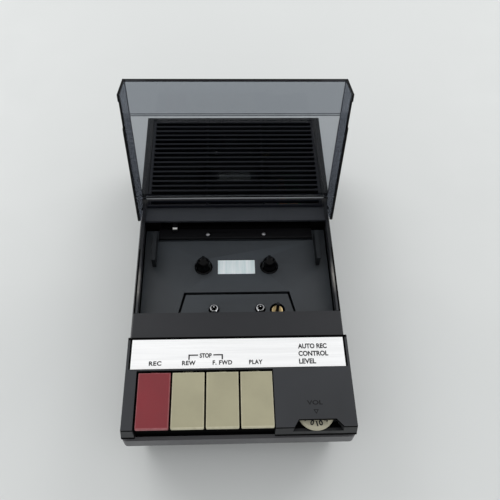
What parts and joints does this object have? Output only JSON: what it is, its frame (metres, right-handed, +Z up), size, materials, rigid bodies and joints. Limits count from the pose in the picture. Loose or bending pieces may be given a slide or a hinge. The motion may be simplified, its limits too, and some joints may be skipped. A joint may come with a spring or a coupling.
{
  "type": "portable cassette recorder",
  "caption": "Slim portable cassette recorder with piano keys, thumbwheel volume, ribbed speaker grille and a hinged smoked lid that opens over the cassette well.",
  "frame": {"origin": "middle of the bounding box at the bottom of the rubber feet, on the surface the recorder stands on", "axes": "+Z up, -Y towards the keys and the user, +Y towards the speaker, +X to the user's right"},
  "size_m": [0.1294, 0.2344, 0.1432],
  "materials": {
    "black_plastic": "matte",
    "grey_plastic": "satin",
    "grille_black": "matte",
    "smoked_clear": "gloss",
    "strip_aluminium": "brushed",
    "red_key": "satin",
    "beige_key": "satin",
    "cream_plastic": "satin",
    "spindle_black": "gloss",
    "white_card": "satin",
    "steel": "satin",
    "zinc_steel": "satin",
    "polished_steel": "polished",
    "brass": "satin",
    "black_rubber": "matte",
    "circuit_green": "satin",
    "component_mix": "satin",
    "paper_cone": "matte",
    "magnet_black": "satin"
  },
  "bodies": {
    "case": {"upper_case": "black_plastic", "lower_case": "grey_plastic", "speaker_grille": "grille_black", "head_cover": "black_plastic", "fascia_strip": "strip_aluminium", "deck_plate": "black_plastic", "head_plate": "black_plastic", "rear_shelf": "black_plastic", "tape_reflector": "white_card", "locating_pins": "polished_steel", "deck_screws": "polished_steel", "lid_hinge_pins": "steel", "key_shaft": "steel", "key_frame": "zinc_steel", "key_springs": "steel", "volume_pot": "zinc_steel", "capstan_bearing": "brass", "thrust_bracket": "zinc_steel", "chassis_plate": "zinc_steel", "chassis_posts": "zinc_steel", "reel_pins": "steel", "motor": "polished_steel", "motor_bracket": "zinc_steel", "drive_belt": "black_rubber", "speaker_frame": "magnet_black", "speaker_magnet": "magnet_black", "speaker_cone": "paper_cone", "battery_contacts": "steel", "battery_springs": "steel", "circuit_board": "circuit_green", "board_components": "component_mix", "record_switch": "steel", "jack_sockets": "steel", "rubber_feet": "black_rubber", "case_screws": "steel"},
    "lid": {"cassette_lid": "smoked_clear"},
    "record_key_lever": {"record_key": "red_key"},
    "rewind_key_lever": {"rewind_key": "beige_key"},
    "fast_forward_key_lever": {"fast_forward_key": "beige_key"},
    "play_key_lever": {"play_key": "beige_key"},
    "latch": {"latch_bar": "zinc_steel"},
    "volume": {"volume_wheel": "cream_plastic"},
    "supply_reel": {"supply_spindle": "spindle_black", "supply_reel_table": "cream_plastic"},
    "takeup_reel": {"takeup_spindle": "spindle_black", "takeup_reel_table": "cream_plastic"},
    "capstan": {"flywheel": "steel", "capstan_shaft": "polished_steel"},
    "motor_rotor": {"motor_pulley": "brass", "motor_shaft": "steel"},
    "carriage": {"head_carriage": "zinc_steel", "play_head": "polished_steel", "erase_head": "magnet_black"},
    "pinch": {"pinch_arm": "zinc_steel", "pinch_axle": "steel"},
    "pinch_wheel": {"pinch_roller": "black_rubber"},
    "record_feeler": {"record_safety_feeler": "polished_steel"},
    "battery_cover": {"battery_door": "grey_plastic"}
  },
  "joints": [
    {"name": "lid_hinge", "type": "hinge", "parent": "case", "child": "lid", "pos_m": [0, 0.03465, 0.04593], "axis": [1, 0, 0], "range_deg": [0, 97.4]},
    {"name": "record_key_press", "type": "hinge", "parent": "case", "child": "record_key_lever", "pos_m": [0, -0.076, 0.0415], "axis": [1, 0, 0], "range_deg": [0, 8], "stiffness_Nm_per_rad": 0.05, "springref_deg": -4.58},
    {"name": "rewind_key_press", "type": "hinge", "parent": "case", "child": "rewind_key_lever", "pos_m": [0, -0.076, 0.0415], "axis": [1, 0, 0], "range_deg": [0, 8], "stiffness_Nm_per_rad": 0.05, "springref_deg": -4.58},
    {"name": "fast_forward_key_press", "type": "hinge", "parent": "case", "child": "fast_forward_key_lever", "pos_m": [0, -0.076, 0.0415], "axis": [1, 0, 0], "range_deg": [0, 8], "stiffness_Nm_per_rad": 0.05, "springref_deg": -4.58},
    {"name": "play_key_press", "type": "hinge", "parent": "case", "child": "play_key_lever", "pos_m": [0, -0.076, 0.0415], "axis": [1, 0, 0], "range_deg": [0, 8]},
    {"name": "latch_slide", "type": "slide", "parent": "case", "child": "latch", "axis": [-1, 0, 0], "range_m": [0, 0.0024], "stiffness_N_per_m": 60, "springref_m": -0.001},
    {"name": "volume_turn", "type": "hinge", "parent": "case", "child": "volume", "pos_m": [0.0418, -0.1062, 0], "axis": [0, 0, 1], "range_deg": [0, 340]},
    {"name": "supply_spin", "type": "hinge", "parent": "case", "child": "supply_reel", "pos_m": [-0.02125, -0.0065, 0], "axis": [0, 0, 1], "continuous": true},
    {"name": "takeup_spin", "type": "hinge", "parent": "case", "child": "takeup_reel", "pos_m": [0.02125, -0.0065, 0], "axis": [0, 0, 1], "continuous": true},
    {"name": "flywheel_spin", "type": "hinge", "parent": "case", "child": "capstan", "pos_m": [0.025, -0.0385, 0], "axis": [0, 0, 1], "continuous": true},
    {"name": "motor_spin", "type": "hinge", "parent": "case", "child": "motor_rotor", "pos_m": [-0.032, -0.04, 0], "axis": [0, 0, 1], "continuous": true},
    {"name": "carriage_slide", "type": "slide", "parent": "case", "child": "carriage", "axis": [0, 1, 0], "range_m": [0, 0.006], "stiffness_N_per_m": 25, "springref_m": -0.001},
    {"name": "pinch_arm_swing", "type": "hinge", "parent": "carriage", "child": "pinch", "pos_m": [0.038, -0.056, 0], "axis": [0, 0, 1], "range_deg": [0, 5], "stiffness_Nm_per_rad": 0.02, "springref_deg": -5.73},
    {"name": "pinch_roller_spin", "type": "hinge", "parent": "pinch", "child": "pinch_wheel", "pos_m": [0.026, -0.0515, 0], "axis": [0, 0, 1], "continuous": true},
    {"name": "record_feeler_push", "type": "slide", "parent": "case", "child": "record_feeler", "axis": [0, 1, 0], "range_m": [0, 0.0025], "stiffness_N_per_m": 60, "springref_m": -0.001},
    {"name": "battery_door_slide", "type": "slide", "parent": "case", "child": "battery_cover", "axis": [0, 1, 0], "range_m": [0, 0.104]}
  ],
  "couplings": [
    {"joint": "motor_spin", "follows": "flywheel_spin", "ratio": 6.5714},
    {"joint": "play_key_press", "follows": "carriage_slide", "rad_per_m": 23.248}
  ]
}
